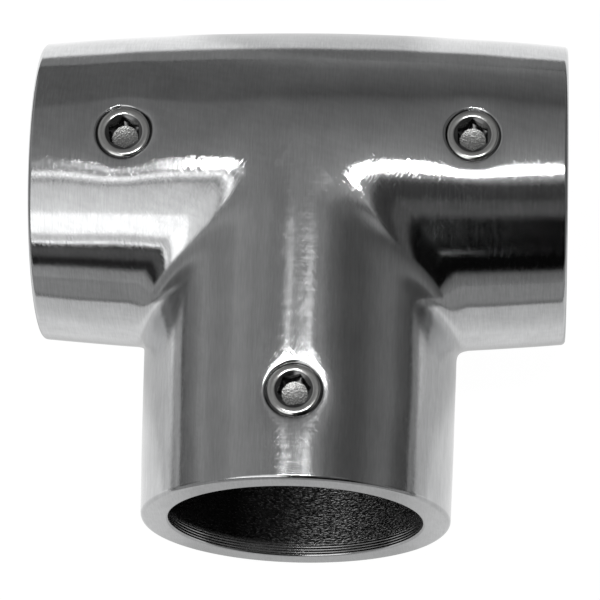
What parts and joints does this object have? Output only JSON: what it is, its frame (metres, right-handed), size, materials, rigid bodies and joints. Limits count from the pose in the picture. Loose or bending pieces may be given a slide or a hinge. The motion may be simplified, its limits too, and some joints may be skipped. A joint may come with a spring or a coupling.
{
  "type": "tube clamp tee fitting",
  "caption": "Polished stainless tee that joins the end of one rail tube square to the middle of another, with hex-socket set screws that clamp the tubes.",
  "frame": {"origin": "where the axis of the run meets the axis of the branch", "axes": "+X along the run, -Y out of the branch's mouth, +Z out of the side that the set screws are driven from"},
  "size_m": [0.054, 0.052, 0.0332],
  "materials": {
    "body_steel": "mirror-polished cast stainless steel outside, rough as-cast bores",
    "screw_steel": "machined stainless steel, fine turning marks"
  },
  "bodies": {
    "root": {"tee_body": "body_steel", "set_screw_left": "screw_steel", "set_screw_right": "screw_steel", "set_screw_branch": "screw_steel"}
  },
  "joints": []
}
